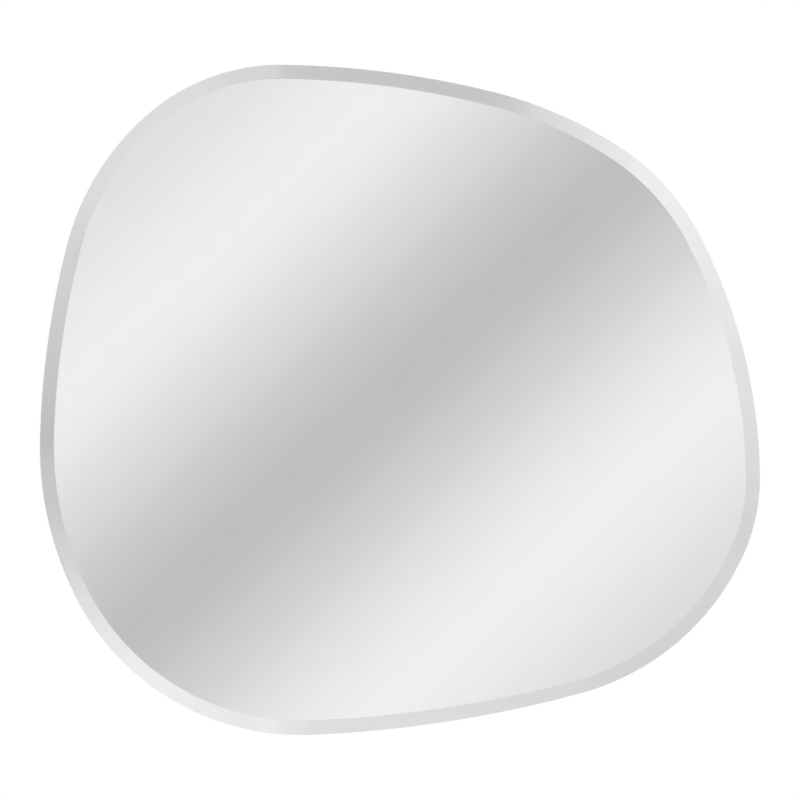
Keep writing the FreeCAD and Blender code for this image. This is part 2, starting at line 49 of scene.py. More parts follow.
# The radius in metres and the turn in degrees of each arc, in order from the foot of the pane.
PANE_ARCS = (
    (1.0975, 12.9),
    (0.226, 50.3),
    (0.168, 25.3),
    (0.4855, 26.5),
    (0.213, 29.4),
    (0.373, 19.5),
    (0.8413, 12.9),
    (0.183, 41.8),
    (0.233, 34.6),
    (0.7781, 13.0),
    (0.300, 28.1),
    (0.228, 65.7),
)
PANE_START_HEADING = 2.3
PANE_FACET = 0.001
PANE_WELD = 0.0002
PANE_BEVEL_WIDTH = 0.0125
PANE_BEVEL_DEPTH = 0.002
PANE_BACK_ARRIS = 0.0002
PANE_FRONT_ARRIS = 0.0001
PANE_AIR = 0.00002
PANE_TOLERANCE = 0.00001
PANE_CREASE = math.radians(3.0)
PANE_POLISHED_FACING = 0.9
TOWARDS_VIEWER = Vector((0.0, -1.0, 0.0))
GLASS_INDEX = 1.5
GLASS_CLEAR = (1.0, 1.0, 1.0)
GLASS_GREEN = (0.30, 0.52, 0.43)
GLASS_DEPTH_TINT = (0.50, 0.86, 0.74)
GLASS_DEPTH_DENSITY = 6.0


def trace_pane_outline(mesh):
    """Spin one vertex round the centre of each arc in turn, counter-clockwise as seen from the front."""
    tip = bmesh.ops.create_vert(mesh, co=(0.0, 0.0, 0.0))["vert"][0]
    heading = math.radians(PANE_START_HEADING)
    for radius, turn in PANE_ARCS:
        angle = math.radians(turn)
        centre = tip.co + radius * Vector((-math.sin(heading), 0.0, math.cos(heading)))
        spun = bmesh.ops.spin(mesh, geom=[tip], cent=centre, axis=TOWARDS_VIEWER, angle=angle,
                              steps=math.ceil(radius * angle / PANE_FACET))
        tip = next(item for item in spun["geom_last"] if isinstance(item, bmesh.types.BMVert))
        heading += angle
    bmesh.ops.remove_doubles(mesh, verts=mesh.verts, dist=PANE_WELD)


def rim_at(mesh, level):
    """Sharp edges that run round the pane at one depth."""
    return [edge for edge in mesh.edges if edge.calc_face_angle() > PANE_CREASE
            and all(abs(vert.co.y - level) < PANE_TOLERANCE for vert in edge.verts)]


def finish_piece(mesh, name, body, slot, *materials):
    """Turn a finished bmesh into a piece that rides on a body."""
    data = bpy.data.meshes.new(name)
    mesh.to_mesh(data)
    mesh.free()
    piece = bpy.data.objects.new(name, data)
    bpy.context.scene.collection.objects.link(piece)
    for material in materials:
        data.materials.append(material)
    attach(piece, body)
    return piece


def new_finish(name, **sockets):
    """Material with one Principled shader, whose sockets are named with underscores for spaces."""
    material = bpy.data.materials.new(name)
    material.use_nodes = True
    shader = material.node_tree.nodes["Principled BSDF"]
    for socket, value in sockets.items():
        shader.inputs[socket.replace("_", " ")].default_value = value
    return material, material.node_tree, shader


def new_node(tree, kind, **sockets):
    """Shader node whose input sockets are set by name, with underscores for spaces."""
    node = tree.nodes.new(kind)
    for socket, value in sockets.items():
        node.inputs[socket.replace("_", " ")].default_value = value
    return node


def glass_finish(name, tint, roughness, clearness):
    """Soda-lime glass that goes green over a long way through it, less clear where it is ground."""
    material, tree, _ = new_finish(name, Base_Color=(*tint, 1.0), Roughness=roughness,
                                   IOR=GLASS_INDEX, Transmission_Weight=clearness)
    depth = new_node(tree, "ShaderNodeVolumeAbsorption", Color=(*GLASS_DEPTH_TINT, 1.0),
                     Density=GLASS_DEPTH_DENSITY)
    tree.links.new(depth.outputs["Volume"], tree.nodes["Material Output"].inputs["Volume"])
    return material


pane_low, pane_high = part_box("glass_pane")
pane_middle = (pane_low + pane_high) / 2
pane_wall = pane_high.y - PANE_AIR - pane_low.y - PANE_BEVEL_DEPTH
pane = bmesh.new()
trace_pane_outline(pane)
bmesh.ops.edgeloop_fill(pane, edges=pane.edges)
solid = bmesh.ops.extrude_face_region(pane, geom=pane.faces[:])
front_verts = [item for item in solid["geom"] if isinstance(item, bmesh.types.BMVert)]
bmesh.ops.translate(pane, verts=front_verts, vec=TOWARDS_VIEWER * pane_wall)
bmesh.ops.recalc_face_normals(pane, faces=pane.faces)
front_face = min(pane.faces, key=lambda face: face.calc_center_median().y)
bmesh.ops.inset_region(pane, faces=[front_face], thickness=PANE_BEVEL_WIDTH, depth=PANE_BEVEL_DEPTH,
                       use_even_offset=True, use_boundary=True)
for level, arris in ((0.0, PANE_BACK_ARRIS), (-pane_wall, PANE_FRONT_ARRIS)):
    bmesh.ops.bevel(pane, geom=rim_at(pane, level), offset=arris, offset_type="OFFSET", affect="EDGES",
                    segments=1, profile=0.5, material=-1)
for face in pane.faces:
    face.smooth = True
    face.material_index = 0 if abs(face.normal.y) > PANE_POLISHED_FACING else 1
for edge in pane.edges:
    edge.smooth = edge.calc_face_angle() < PANE_CREASE
sheets = [face for face in pane.faces if len(face.verts) > 4]
bmesh.ops.triangulate(pane, faces=sheets, quad_method="BEAUTY", ngon_method="BEAUTY")
xs = [vert.co.x for vert in pane.verts]
zs = [vert.co.z for vert in pane.verts]
bmesh.ops.translate(pane, verts=pane.verts, vec=(
    pane_middle.x - (min(xs) + max(xs)) / 2,
    pane_high.y - PANE_AIR,
    pane_middle.z - (min(zs) + max(zs)) / 2,
))
pane_piece = finish_piece(pane, "bevelled_pane", "mirror", "float_glass",
                          glass_finish("polished_float_glass", GLASS_CLEAR, roughness=0.0, clearness=1.0),
                          glass_finish("ground_edge", GLASS_GREEN, roughness=0.3, clearness=0.4))
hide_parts("glass_pane")

# --- Silver coating -----------------------------------------------------------------------------------
# Silver, laid wet on the back of the glass. It is what reflects, and the arris round the back has ground
# it off at the very edge.

SILVER_CLOUDS = 4.0
SILVER_DIM = (0.972, 0.948, 0.958)
SILVER_BRIGHT = (0.976, 0.952, 0.962)


def noise_on(tree, scale, detail=3.0, stretch=(1.0, 1.0, 1.0), distortion=0.0):
    """Noise in the piece's own space, in features per metre, drawn out along an axis by its stretch."""
    place = tree.nodes.new("ShaderNodeTexCoord")
    mapping = new_node(tree, "ShaderNodeMapping", Scale=stretch)
    noise = new_node(tree, "ShaderNodeTexNoise", Scale=scale, Detail=detail, Distortion=distortion)
    tree.links.new(place.outputs["Object"], mapping.inputs["Vector"])
    tree.links.new(mapping.outputs["Vector"], noise.inputs["Vector"])
    return noise.outputs["Fac"]


def colour_between(tree, value, low, high, start=0.35, end=0.65):
    """Colour that goes from low to high as a value goes from start to end."""
    ramp = tree.nodes.new("ShaderNodeValToRGB")
    ramp.color_ramp.elements[0].position = start
    ramp.color_ramp.elements[0].color = (*low, 1.0)
    ramp.color_ramp.elements[1].position = end
    ramp.color_ramp.elements[1].color = (*high, 1.0)
    tree.links.new(value, ramp.inputs["Fac"])
    return ramp.outputs["Color"]


def feed(tree, shader, **sockets):
    """Link a shader's sockets, named with underscores for spaces, to the outputs of other nodes."""
    for socket, output in sockets.items():
        tree.links.new(output, shader.inputs[socket.replace("_", " ")])


def give_finish(material, *names):
    """Put a material on CAD nodes whose shape stays."""
    for name in names:
        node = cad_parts[name]
        node.data.materials.clear()
        node.data.materials.append(material)


silver, tree, shader = new_finish("wet_silver", Metallic=1.0, Roughness=0.0)
feed(tree, shader,
     Base_Color=colour_between(tree, noise_on(tree, SILVER_CLOUDS), SILVER_DIM, SILVER_BRIGHT))
give_finish(silver, "silver_coating")

# --- Protective paint ---------------------------------------------------------------------------------
# Grey-blue lead-free lacquer, curtain coated over the silver to keep the damp off it. It shows as a fine
# border round the film.

LACQUER_CLOUDS = 9.0
LACQUER_DEEP = (0.155, 0.190, 0.205)
LACQUER_PALE = (0.175, 0.210, 0.225)
LACQUER_PEEL = 500.0
LACQUER_PEEL_HEIGHT = 0.00002


def surface_with(tree, relief, height):
    """Normal of a surface with a relief, where a step of 1 in the relief is a height in metres."""
    bump = new_node(tree, "ShaderNodeBump", Strength=1.0, Distance=height)
    tree.links.new(relief, bump.inputs["Height"])
    return bump.outputs["Normal"]


lacquer, tree, shader = new_finish("backing_lacquer", Roughness=0.42, Specular_IOR_Level=0.5)
feed(tree, shader,
     Base_Color=colour_between(tree, noise_on(tree, LACQUER_CLOUDS), LACQUER_DEEP, LACQUER_PALE),
     Normal=surface_with(tree, noise_on(tree, LACQUER_PEEL, detail=2.0), LACQUER_PEEL_HEIGHT))
give_finish(lacquer, "protective_paint")

# --- Safety film --------------------------------------------------------------------------------------
# Pale vinyl film, rolled on over the paint so that broken glass stays in one sheet. It has a fine linen
# emboss, a scrim of strong threads that shows through it, and faint streaks from the rollers.

FILM_DULL = (0.555, 0.582, 0.600)
FILM_PALE = (0.615, 0.636, 0.648)
FILM_STREAKS = 14.0
FILM_STREAK_STRETCH = (1.0, 1.0, 0.12)
FILM_SHEEN = (0.42, 0.54)
FILM_THREAD = 0.0011
FILM_EMBOSS_HEIGHT = 0.00003
SCRIM_GREY = (0.47, 0.50, 0.52)
SCRIM_MESH = 0.008
SCRIM_SHARE = 0.06
SCRIM_OVER_EMBOSS = 2.0


def number_between(tree, value, low, high):
    """Number that goes from low to high as a value goes from 0.3 to 0.7."""
    spread = new_node(tree, "ShaderNodeMapRange", From_Min=0.3, From_Max=0.7, To_Min=low, To_Max=high)
    tree.links.new(value, spread.inputs["Value"])
    return spread.outputs["Result"]


def math_node(tree, operation, first, second=None):
    """Math node that takes sockets or numbers."""
    node = tree.nodes.new("ShaderNodeMath")
    node.operation = operation
    for index, value in enumerate((first, second)):
        if isinstance(value, (int, float)):
            node.inputs[index].default_value = value
        elif value is not None:
            tree.links.new(value, node.inputs[index])
    return node.outputs["Value"]


def soft_step(tree, value, start, end):
    """Share that goes from 0 to 1 as a value goes from start to end."""
    step = new_node(tree, "ShaderNodeMapRange", From_Min=start, From_Max=end)
    step.interpolation_type = "SMOOTHSTEP"
    tree.links.new(value, step.inputs["Value"])
    return step.outputs["Result"]


def mix_colours(tree, share, first, second):
    """Mix of two colours, each a socket or four numbers."""
    mix = tree.nodes.new("ShaderNodeMix")
    mix.data_type = "RGBA"
    colours = [socket for socket in mix.inputs if socket.type == "RGBA"]
    for socket, value in ((mix.inputs["Factor"], share), (colours[0], first), (colours[1], second)):
        if isinstance(value, tuple):
            socket.default_value = value
        else:
            tree.links.new(value, socket)
    return next(socket for socket in mix.outputs if socket.type == "RGBA")


def place_on(tree):
    """Outputs X, Y and Z with the place on a piece, in metres."""
    place = tree.nodes.new("ShaderNodeTexCoord")
    apart = tree.nodes.new("ShaderNodeSeparateXYZ")
    tree.links.new(place.outputs["Object"], apart.inputs["Vector"])
    return apart.outputs


def woven_emboss(tree, pitch):
    """Height of two sets of threads that cross at right angles in the plane of the mirror."""
    place = place_on(tree)
    ribs = []
    for axis in ("X", "Z"):
        turns = math_node(tree, "MULTIPLY", place[axis], 2 * math.pi / pitch)
        ribs.append(math_node(tree, "SINE", turns))
    return math_node(tree, "MULTIPLY", *ribs)


def scrim_threads(tree, mesh, share):
    """Share from 0 to 1 that marks straight threads, set on a diagonal, which cross in a wide mesh."""
    place = place_on(tree)
    threads = []
    for way in ("ADD", "SUBTRACT"):
        along = math_node(tree, way, place["X"], place["Z"])
        from_thread = math_node(tree, "PINGPONG", math_node(tree, "DIVIDE", along, mesh), 0.5)
        threads.append(soft_step(tree, from_thread, share, share / 2))
    return math_node(tree, "MAXIMUM", *threads)


film, tree, shader = new_finish("linen_vinyl", Specular_IOR_Level=0.4)
streaks = noise_on(tree, FILM_STREAKS, stretch=FILM_STREAK_STRETCH)
scrim = scrim_threads(tree, SCRIM_MESH, SCRIM_SHARE)
raised_scrim = math_node(tree, "MULTIPLY", scrim, SCRIM_OVER_EMBOSS)
relief = math_node(tree, "ADD", woven_emboss(tree, FILM_THREAD), raised_scrim)
vinyl = colour_between(tree, streaks, FILM_DULL, FILM_PALE)
feed(tree, shader,
     Base_Color=mix_colours(tree, scrim, vinyl, (*SCRIM_GREY, 1.0)),
     Roughness=number_between(tree, streaks, *FILM_SHEEN),
     Normal=surface_with(tree, relief, FILM_EMBOSS_HEIGHT))
give_finish(film, "safety_film")

# --- Hanger plates ------------------------------------------------------------------------------------
# Two plates of 1 mm steel sheet, pressed so that a pan with the keyhole stands off the mirror, then zinc
# plated. The zinc is rolled along the plate and its passivation runs from straw to pale blue.

ZINC_CLOUDS = 45.0
ZINC_STRAW = (0.500, 0.485, 0.445)
ZINC_BLUE = (0.465, 0.485, 0.510)
ZINC_GRAIN = 900.0
ZINC_GRAIN_STRETCH = (1.0, 1.0, 0.04)
ZINC_SHEEN = (0.26, 0.42)
ZINC_GRAIN_HEIGHT = 0.000006

zinc, tree, shader = new_finish("zinc_plate", Metallic=1.0)
clouds = noise_on(tree, ZINC_CLOUDS, detail=4.0, distortion=0.6)
grain = noise_on(tree, ZINC_GRAIN, stretch=ZINC_GRAIN_STRETCH)
feed(tree, shader,
     Base_Color=colour_between(tree, clouds, ZINC_STRAW, ZINC_BLUE, start=0.30, end=0.70),
     Roughness=number_between(tree, grain, *ZINC_SHEEN),
     Normal=surface_with(tree, grain, ZINC_GRAIN_HEIGHT))
give_finish(zinc, "hanger_plate_left", "hanger_plate_right")

# --- Foam tape ----------------------------------------------------------------------------------------
# Four strips of double-sided tape, white closed-cell foam a millimetre thick, that bond the plates' rims
# to the film.

FOAM_CELLS = 2600.0
# Painted shade: the middle of each cell, which the bump sinks into a hollow, is coloured darker than the
# foam's own white.
FOAM_HOLLOW_SHADE = (0.70, 0.70, 0.68)
FOAM_CELL_WALL = (0.84, 0.84, 0.82)
FOAM_CELL_HEIGHT = 0.00008

foam, tree, shader = new_finish("closed_cell_foam", Roughness=0.9, Specular_IOR_Level=0.2)
place = tree.nodes.new("ShaderNodeTexCoord")
cells = new_node(tree, "ShaderNodeTexVoronoi", Scale=FOAM_CELLS)
tree.links.new(place.outputs["Object"], cells.inputs["Vector"])
from_middle = cells.outputs["Distance"]
# The colour runs from painted shade in each cell's hollow to the foam's own white on the cell walls.
feed(tree, shader,
     Base_Color=colour_between(tree, from_middle, FOAM_HOLLOW_SHADE, FOAM_CELL_WALL, start=0.1, end=0.6),
     Normal=surface_with(tree, from_middle, FOAM_CELL_HEIGHT))
give_finish(foam, *[f"hanger_tape_{side}_{strip}" for side in ("left", "right") for strip in "ab"])

# --- Height discs -------------------------------------------------------------------------------------
# Two nylon discs with an off-centre bore, moulded in one piece with the neck that a plate hangs on. They
# turn on the screws, by the finger grips round their rim, to set each end of the mirror's height.

NYLON_CLOUDS = 160.0
NYLON_SHADE = (0.770, 0.765, 0.735)
NYLON_PALE = (0.815, 0.812, 0.785)
NYLON_FLOW = 700.0
NYLON_SHEEN = (0.34, 0.46)
NYLON_SKIN = 2500.0
NYLON_SKIN_HEIGHT = 0.00001

nylon, tree, shader = new_finish("moulded_nylon", Subsurface_Weight=0.12, Subsurface_Scale=0.0015,
                                 Specular_IOR_Level=0.45)
feed(tree, shader,
     Base_Color=colour_between(tree, noise_on(tree, NYLON_CLOUDS), NYLON_SHADE, NYLON_PALE),
     Roughness=number_between(tree, noise_on(tree, NYLON_FLOW), *NYLON_SHEEN),
     Normal=surface_with(tree, noise_on(tree, NYLON_SKIN, detail=2.0), NYLON_SKIN_HEIGHT))
give_finish(nylon, "height_adjuster_left", "height_adjuster_right")

# --- Wall screws --------------------------------------------------------------------------------------
# Two 4.5 x 50 mm countersunk screws with a cross recess, cold formed, thread rolled and zinc plated. The
# thread runs from under the plain neck to the point and bites into the plug.

SCREW_SHANK = 0.00225
SCREW_ROOT = 0.0016
SCREW_PITCH = 0.0021
SCREW_HEAD_RIM = 0.0002
SCREW_NECK = 0.008
SCREW_NECK_TAPER = 0.0001
SCREW_NECK_CONE = 0.001
SCREW_POINT = 0.007
SCREW_BARE_POINT = 0.25
SCREW_THREAD_SINK = 0.00005
SCREW_THREAD_FOOT = 0.0005
SCREW_FACETS = 32
SCREW_WELD = 1e-6
SCREW_CREASE = math.radians(30.0)
SCREW_AXIS = (0.0, 1.0, 0.0)
RECESS_ARM = 0.0005
RECESS_REACH = 0.0023
RECESS_DEPTH = 0.0022
RECESS_DRAFT = 0.45
YELLOW_CLOUDS = 260.0
YELLOW_DEEP = (0.560, 0.450, 0.265)
YELLOW_PALE = (0.600, 0.530, 0.370)
YELLOW_FLOW = 1200.0
YELLOW_SHEEN = (0.24, 0.38)
YELLOW_SKIN = 3000.0
YELLOW_SKIN_HEIGHT = 0.000008


def turn_section(mesh, section):
    """Revolve an open section of pairs (radius, y) about the Y axis into a closed solid."""
    verts = [bmesh.ops.create_vert(mesh, co=(radius, y, 0.0))["vert"][0] for radius, y in section]
    edges = [mesh.edges.new(pair) for pair in zip(verts, verts[1:])]
    bmesh.ops.spin(mesh, geom=verts + edges, cent=(0.0, 0.0, 0.0), axis=SCREW_AXIS, angle=2 * math.pi,
                   steps=SCREW_FACETS, use_merge=True)
    bmesh.ops.remove_doubles(mesh, verts=mesh.verts, dist=SCREW_WELD)
    bmesh.ops.recalc_face_normals(mesh, faces=mesh.faces)


def wind_thread(mesh, start, tip):
    """Wind a three-cornered rib round the core and draw it in along the point, nearly to its tip."""
    end = tip - SCREW_POINT * SCREW_BARE_POINT
    foot = SCREW_ROOT - SCREW_THREAD_SINK
    corners = (
        (foot, start),
        (SCREW_SHANK, start + SCREW_THREAD_FOOT),
        (foot, start + 2 * SCREW_THREAD_FOOT),
    )
    verts = [bmesh.ops.create_vert(mesh, co=(radius, y, 0.0))["vert"][0] for radius, y in corners]
    edges = [mesh.edges.new((verts[index], verts[(index + 1) % 3])) for index in range(3)]
    mesh.faces.new(verts)
    turns = (end - start) / SCREW_PITCH
    steps = math.ceil(turns * SCREW_FACETS)
    spun = bmesh.ops.spin(mesh, geom=verts + edges, cent=(0.0, 0.0, 0.0), axis=SCREW_AXIS,
                          angle=turns * 2 * math.pi, steps=steps, dvec=(0.0, (end - start) / steps, 0.0))
    last = [item for item in spun["geom_last"] if isinstance(item, bmesh.types.BMVert)]
    mesh.faces.new(last)
    bmesh.ops.recalc_face_normals(mesh, faces=mesh.faces)
    for vert in mesh.verts:
        narrow = min(1.0, (tip - vert.co.y) / SCREW_POINT)
        vert.co.x *= narrow
        vert.co.z *= narrow


def recess_tool(mouth):
    """Tapered cross that forms the recess of a screw head, set in its mouth, narrow end inwards."""
    cutter = bmesh.new()
    bmesh.ops.create_cube(cutter, size=2.0)
    bmesh.ops.scale(cutter, verts=cutter.verts, vec=(RECESS_ARM, RECESS_DEPTH, RECESS_ARM))
    sides = [face for face in cutter.faces if abs(face.calc_center_median().y) < RECESS_DEPTH / 2]
    for arm in bmesh.ops.extrude_discrete_faces(cutter, faces=sides)["faces"]:
        outwards = arm.calc_center_median().normalized()
        for vert in arm.verts:
            reach = RECESS_REACH * RECESS_DRAFT if vert.co.y > 0 else RECESS_REACH
            bmesh.ops.translate(cutter, verts=[vert], vec=outwards * (reach - RECESS_ARM))
    bmesh.ops.recalc_face_normals(cutter, faces=cutter.faces)
    bmesh.ops.translate(cutter, verts=cutter.verts, vec=(0.0, mouth, 0.0))
    tool = bpy.data.objects.new("recess_tool", bpy.data.meshes.new("recess_tool"))
    bpy.context.scene.collection.objects.link(tool)
    cutter.to_mesh(tool.data)
    cutter.free()
    return tool


def cut_recess(screw, mouth):
    """Mesh of a screw with the cross sunk into its head."""
    tool = recess_tool(mouth)
    recess = screw.modifiers.new("recess", "BOOLEAN")
    recess.operation = "DIFFERENCE"
    recess.solver = "EXACT"
    recess.object = tool
    bpy.context.view_layer.update()
    shaped = bpy.data.meshes.new_from_object(screw.evaluated_get(bpy.context.evaluated_depsgraph_get()))
    screw.modifiers.clear()
    bpy.data.objects.remove(tool)
    return shaped


yellow_zinc, tree, shader = new_finish("yellow_zinc", Metallic=1.0)
feed(tree, shader,
     Base_Color=colour_between(tree, noise_on(tree, YELLOW_CLOUDS, detail=4.0), YELLOW_DEEP, YELLOW_PALE),
     Roughness=number_between(tree, noise_on(tree, YELLOW_FLOW), *YELLOW_SHEEN),
     Normal=surface_with(tree, noise_on(tree, YELLOW_SKIN, detail=2.0), YELLOW_SKIN_HEIGHT))

for side in ("left", "right"):
    screw_low, screw_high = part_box(f"wall_screw_{side}")
    head_radius = (screw_high.x - screw_low.x) / 2
    neck_end = screw_low.y + SCREW_NECK
    core = bmesh.new()
    turn_section(core, (
        (0.0, screw_low.y),
        (head_radius - SCREW_HEAD_RIM, screw_low.y),
        (head_radius, screw_low.y + SCREW_HEAD_RIM),
        (SCREW_SHANK, screw_low.y + head_radius - SCREW_SHANK),
        (SCREW_SHANK - SCREW_NECK_TAPER, neck_end),
        (SCREW_ROOT, neck_end + SCREW_NECK_CONE),
        (SCREW_ROOT, screw_high.y - SCREW_POINT),
        (0.0, screw_high.y),
    ))
    screw = finish_piece(core, f"screw_{side}", "wall_fixings", "screw_steel", yellow_zinc)
    threaded = bmesh.new()
    wind_thread(threaded, neck_end, screw_high.y)
    threaded.from_mesh(cut_recess(screw, screw_low.y))
    bmesh.ops.dissolve_degenerate(threaded, edges=threaded.edges, dist=SCREW_WELD)
    for edge in threaded.edges:
        edge.smooth = len(edge.link_faces) == 2 and edge.calc_face_angle() < SCREW_CREASE
    for face in threaded.faces:
        face.smooth = True
        face.material_index = 0
    bmesh.ops.translate(threaded, verts=threaded.verts, vec=(
        (screw_low.x + screw_high.x) / 2,
        0.0,
        (screw_low.z + screw_high.z) / 2,
    ))
    threaded.to_mesh(screw.data)
    threaded.free()
    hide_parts(f"wall_screw_{side}")

# --- Wall plugs ---------------------------------------------------------------------------------------
# Two 8 x 40 mm nylon plugs, plain at the mouth, then toothed and slit so that the screw spreads them in
# the drilled hole.

PLUG_CLOUDS = 220.0
PLUG_DARK = (0.225, 0.240, 0.250)
PLUG_LIGHT = (0.265, 0.280, 0.290)
PLUG_FLOW = 900.0
PLUG_SHEEN = (0.45, 0.58)
PLUG_SKIN = 3000.0
PLUG_SKIN_HEIGHT = 0.00001

plug_nylon, tree, shader = new_finish("plug_nylon", Subsurface_Weight=0.08, Subsurface_Scale=0.001,
                                      Specular_IOR_Level=0.4)
feed(tree, shader,
     Base_Color=colour_between(tree, noise_on(tree, PLUG_CLOUDS), PLUG_DARK, PLUG_LIGHT),
     Roughness=number_between(tree, noise_on(tree, PLUG_FLOW), *PLUG_SHEEN),
     Normal=surface_with(tree, noise_on(tree, PLUG_SKIN, detail=2.0), PLUG_SKIN_HEIGHT))
give_finish(plug_nylon, "wall_plug_left", "wall_plug_right")

# --- Bumpers ------------------------------------------------------------------------------------------
# Two moulded rubber studs with an adhesive pad each, low on the back, which keep the mirror's foot as far
# off the wall as its hangers keep the top.

RUBBER_CLOUDS = 120.0
RUBBER_BLACK = (0.022, 0.022, 0.024)
RUBBER_GREY = (0.034, 0.034, 0.036)
RUBBER_BLOOM = 400.0
RUBBER_SHEEN = (0.62, 0.80)
RUBBER_SKIN = 1800.0
RUBBER_SKIN_HEIGHT = 0.00002
GUM_CLOUDS = 300.0
GUM_DULL = (0.60, 0.60, 0.58)
GUM_PALE = (0.68, 0.68, 0.66)
GUM_SKIN = 1500.0
GUM_SKIN_HEIGHT = 0.00001

rubber, tree, shader = new_finish("matt_rubber", Specular_IOR_Level=0.35)
feed(tree, shader,
     Base_Color=colour_between(tree, noise_on(tree, RUBBER_CLOUDS, detail=4.0), RUBBER_BLACK, RUBBER_GREY),
     Roughness=number_between(tree, noise_on(tree, RUBBER_BLOOM), *RUBBER_SHEEN),
     Normal=surface_with(tree, noise_on(tree, RUBBER_SKIN), RUBBER_SKIN_HEIGHT))
give_finish(rubber, "bumper_left", "bumper_right")

gum, tree, shader = new_finish("acrylic_gum", Roughness=0.5, Specular_IOR_Level=0.4)
feed(tree, shader,
     Base_Color=colour_between(tree, noise_on(tree, GUM_CLOUDS), GUM_DULL, GUM_PALE),
     Normal=surface_with(tree, noise_on(tree, GUM_SKIN), GUM_SKIN_HEIGHT))
give_finish(gum, "bumper_adhesive_left", "bumper_adhesive_right")

# --- Camera -------------------------------------------------------------------------------------------
# Square in front of the mirror and far back, with a long lens, as a shop photograph is taken. The middle
# of the mirror lies a fraction of a pixel off the middle of the picture.

CAMERA_DISTANCE = 9.0
SENSOR = 36.0
PHOTO_SIDE = 800
PHOTO_MIDDLE = (PHOTO_SIDE - 1) / 2
MIRROR_MIDDLE = (399.40, 399.30)
METRES_PER_PIXEL = 0.0009028

camera_data = bpy.data.cameras.new("camera")
camera_data.sensor_width = SENSOR
camera_data.lens = SENSOR * CAMERA_DISTANCE / (PHOTO_SIDE * METRES_PER_PIXEL)
camera = bpy.data.objects.new("camera", camera_data)
bpy.context.scene.collection.objects.link(camera)
bpy.context.scene.camera = camera
aim_x = pane_middle.x + (PHOTO_MIDDLE - MIRROR_MIDDLE[0]) * METRES_PER_PIXEL
aim_z = pane_middle.z - (PHOTO_MIDDLE - MIRROR_MIDDLE[1]) * METRES_PER_PIXEL
outline_y = pane_high.y - pane_wall
camera.location = (aim_x, outline_y - CAMERA_DISTANCE, aim_z)
camera.rotation_euler = (math.pi / 2, 0.0, 0.0)

# --- What the mirror faces ----------------------------------------------------------------------------
# A white studio, dimmer as light than as a backdrop. The glass shows soft grey boards that stand round the
# lens: a slanting set for the flat of it, a ring of them for the bevel, which looks 7 degrees aside, and
# slanting bands in the rest of the room.

WHITE = (1.0, 1.0, 1.0, 1.0)
AMBIENT = 0.62
MIRROR_RETURN = 0.943
FLAT_SLANT = math.radians(47.0)
FLAT_HALF_WIDTH = 0.0361
# The place of each board down the slant, as a share of half the width, and the grey level from 0 to 255
# that it gives the glass.
FLAT_BOARDS = (
    (-1.0, 225.0), (-0.67, 239.0), (-0.47, 228.0), (-0.28, 209.5), (-0.14, 196.5), (-0.02, 191.5),
    (0.11, 201.0), (0.28, 217.5), (0.47, 234.5), (0.67, 238.0), (1.0, 219.0),
)
# The place of each board round the ring, in degrees counter-clockwise from the right, and its grey level.
RING_BOARDS = (
    (0.0, 194.0), (12.0, 204.0), (24.0, 219.5), (38.0, 232.0), (55.0, 239.5), (76.0, 235.0),
    (90.0, 234.0), (104.0, 212.5), (140.0, 212.0), (180.0, 215.0), (200.0, 231.5), (219.0, 240.0),
    (237.0, 234.0), (250.0, 216.0), (259.0, 195.0), (267.0, 211.0), (280.0, 216.0), (312.0, 222.5),
    (338.0, 218.0), (350.0, 208.5), (356.0, 190.5), (360.0, 194.0),
)
# Where one set gives way to the next. The first two are sines of the angle off the line of the lens, the
# last is the sine of the angle past the plane of the mirror.
FLAT_TO_RING = (0.0375, 0.0440)
RING_TO_ROOM = (0.160, 0.230)
ROOM_TO_BACKDROP = (-0.2, 0.2)
ROOM_WAVE_RATE = 105.0
ROOM_LIGHT = 0.72
ROOM_BAND = 0.17


def screen_light(level):
    """Light of a surface that a screen shows as a grey level from 0 to 255."""
    share = level / 255
    return ((share + 0.055) / 1.055) ** 2.4


def board_ramp(tree, boards):
    """Smooth ramp through the grey levels of a set of boards, from the first place to the last."""
    places, levels = zip(*boards)
    ramp = tree.nodes.new("ShaderNodeValToRGB")
    ramp.color_ramp.interpolation = "CARDINAL"
    points = ramp.color_ramp.elements
    while len(points) < len(boards):
        points.new(0.5)
    for point, place in zip(points, places):
        point.position = (place - places[0]) / (places[-1] - places[0])
    for point, level in zip(points, levels):
        light = screen_light(level) / MIRROR_RETURN
        point.color = (light, light, light, 1.0)
    return ramp


studio = bpy.data.worlds.new("studio")
bpy.context.scene.world = studio
studio.use_nodes = True
tree = studio.node_tree
look = tree.nodes.new("ShaderNodeTexCoord")
apart = tree.nodes.new("ShaderNodeSeparateXYZ")
tree.links.new(look.outputs["Generated"], apart.inputs["Vector"])
across = apart.outputs["X"]
up = apart.outputs["Z"]
down_slant = math_node(tree, "SUBTRACT", math_node(tree, "MULTIPLY", across, math.cos(FLAT_SLANT)),
                       math_node(tree, "MULTIPLY", up, math.sin(FLAT_SLANT)))
flat = board_ramp(tree, FLAT_BOARDS)
from_first = math_node(tree, "ADD", math_node(tree, "DIVIDE", down_slant, 2 * FLAT_HALF_WIDTH), 0.5)
tree.links.new(from_first, flat.inputs["Fac"])
ring = board_ramp(tree, RING_BOARDS)
around = math_node(tree, "DIVIDE", math_node(tree, "ARCTAN2", up, across), 2 * math.pi)
tree.links.new(math_node(tree, "FRACT", around), ring.inputs["Fac"])
waves = math_node(tree, "COSINE", math_node(tree, "MULTIPLY", down_slant, ROOM_WAVE_RATE))
room = math_node(tree, "ADD", math_node(tree, "MULTIPLY", waves, -ROOM_BAND), ROOM_LIGHT)
off_lens = math_node(tree, "SQRT", math_node(tree, "ADD", math_node(tree, "MULTIPLY", across, across),
                                             math_node(tree, "MULTIPLY", up, up)))
past_flat = soft_step(tree, off_lens, *FLAT_TO_RING)
past_ring = soft_step(tree, off_lens, *RING_TO_ROOM)
past_room = soft_step(tree, apart.outputs["Y"], *ROOM_TO_BACKDROP)
